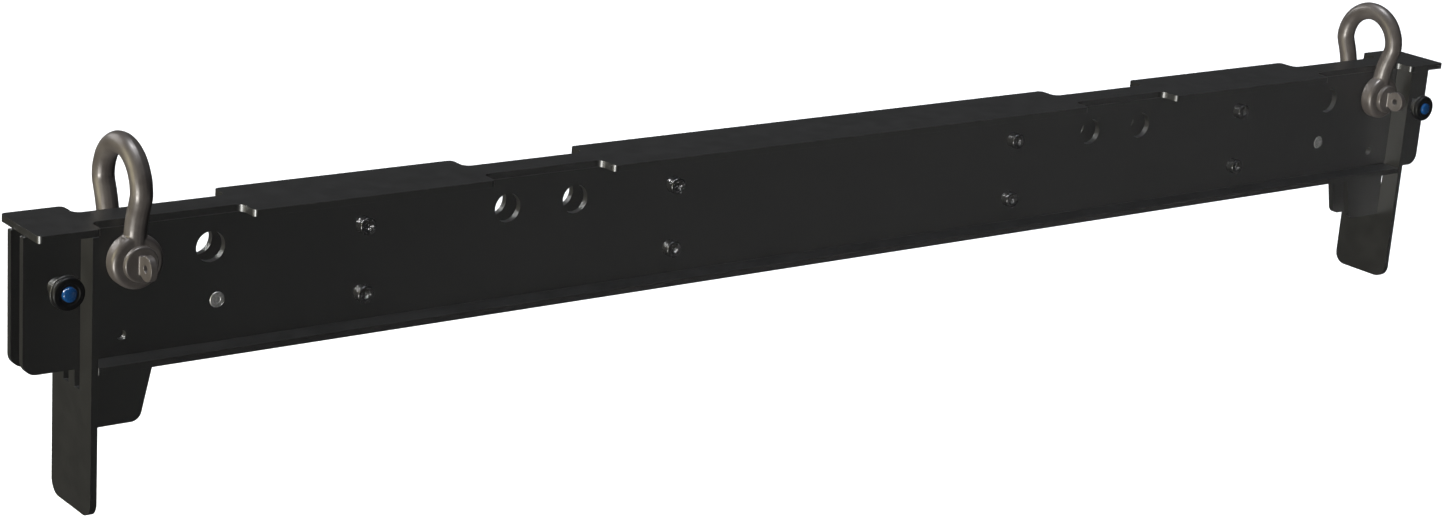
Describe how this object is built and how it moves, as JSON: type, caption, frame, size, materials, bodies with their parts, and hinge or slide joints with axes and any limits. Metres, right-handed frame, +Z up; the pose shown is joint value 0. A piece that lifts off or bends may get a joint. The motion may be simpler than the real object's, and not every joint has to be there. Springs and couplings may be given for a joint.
{
  "type": "spreader beam",
  "caption": "Steel lifting spreader beam: twin side plates under a notched top plate, slotted end legs, bow shackles and quick-release lock pins.",
  "frame": {"origin": "centre of the top plate's upper face", "axes": "+X along the beam, +Z up towards the shackle bows, -Y to the front with the screw heads and lock-pin knobs"},
  "size_m": [1.415, 0.0857, 0.2614],
  "materials": {
    "black_coating": "satin black powder coat over laser-cut steel plate",
    "blackened_screw": "black oxide",
    "zinc": "dull zinc",
    "forged_steel": "forged, grey-brown",
    "bright_steel": "machined stainless",
    "black_plastic": "matte black",
    "blue_button": "blue anodised, glossy"
  },
  "bodies": {
    "beam": {"top_plate": "black_coating", "front_side_plate": "black_coating", "back_side_plate": "black_coating", "front_flange": "black_coating", "back_flange": "black_coating", "left_leg": "black_coating", "right_leg": "black_coating", "left_outer_upper_screw": "blackened_screw", "left_outer_upper_spacer": "zinc", "left_outer_upper_washer": "zinc", "left_outer_upper_nut": "zinc", "left_outer_lower_screw": "blackened_screw", "left_outer_lower_spacer": "zinc", "left_outer_lower_washer": "zinc", "left_outer_lower_nut": "zinc", "left_inner_upper_screw": "blackened_screw", "left_inner_upper_spacer": "zinc", "left_inner_upper_washer": "zinc", "left_inner_upper_nut": "zinc", "left_inner_lower_screw": "blackened_screw", "left_inner_lower_spacer": "zinc", "left_inner_lower_washer": "zinc", "left_inner_lower_nut": "zinc", "left_cross_pin": "zinc", "right_outer_upper_screw": "blackened_screw", "right_outer_upper_spacer": "zinc", "right_outer_upper_washer": "zinc", "right_outer_upper_nut": "zinc", "right_outer_lower_screw": "blackened_screw", "right_outer_lower_spacer": "zinc", "right_outer_lower_washer": "zinc", "right_outer_lower_nut": "zinc", "right_inner_upper_screw": "blackened_screw", "right_inner_upper_spacer": "zinc", "right_inner_upper_washer": "zinc", "right_inner_upper_nut": "zinc", "right_inner_lower_screw": "blackened_screw", "right_inner_lower_spacer": "zinc", "right_inner_lower_washer": "zinc", "right_inner_lower_nut": "zinc", "right_cross_pin": "zinc"},
    "left_shackle": {"left_shackle_bow": "forged_steel"},
    "left_shackle_screw_pin": {"left_shackle_pin": "forged_steel"},
    "left_lock": {"left_lock_pin": "bright_steel", "left_lock_pin_face": "black_plastic"},
    "left_lock_button": {"left_lock_pin_button": "blue_button"},
    "right_shackle": {"right_shackle_bow": "forged_steel"},
    "right_shackle_screw_pin": {"right_shackle_pin": "forged_steel"},
    "right_lock": {"right_lock_pin": "bright_steel", "right_lock_pin_face": "black_plastic"},
    "right_lock_button": {"right_lock_pin_button": "blue_button"}
  },
  "joints": [
    {"name": "left_shackle_swing", "type": "hinge", "parent": "beam", "child": "left_shackle", "pos_m": [-0.631, 0, -0.028], "axis": [0, 1, 0], "range_deg": [-33, 60]},
    {"name": "left_shackle_pin_turn", "type": "hinge", "parent": "left_shackle", "child": "left_shackle_screw_pin", "pos_m": [-0.631, 0, -0.028], "axis": [0, 1, 0], "continuous": true},
    {"name": "left_lock_pin_pull", "type": "slide", "parent": "beam", "child": "left_lock", "axis": [0, -1, 0], "range_m": [0, 0.045]},
    {"name": "left_button_press", "type": "slide", "parent": "left_lock", "child": "left_lock_button", "axis": [0, 1, 0], "range_m": [0, 0.003], "stiffness_N_per_m": 600, "springref_m": -0.002},
    {"name": "right_shackle_swing", "type": "hinge", "parent": "beam", "child": "right_shackle", "pos_m": [0.631, 0, -0.028], "axis": [0, 1, 0], "range_deg": [-60, 33]},
    {"name": "right_shackle_pin_turn", "type": "hinge", "parent": "right_shackle", "child": "right_shackle_screw_pin", "pos_m": [0.631, 0, -0.028], "axis": [0, 1, 0], "continuous": true},
    {"name": "right_lock_pin_pull", "type": "slide", "parent": "beam", "child": "right_lock", "axis": [0, -1, 0], "range_m": [0, 0.045]},
    {"name": "right_button_press", "type": "slide", "parent": "right_lock", "child": "right_lock_button", "axis": [0, 1, 0], "range_m": [0, 0.003], "stiffness_N_per_m": 600, "springref_m": -0.002}
  ]
}
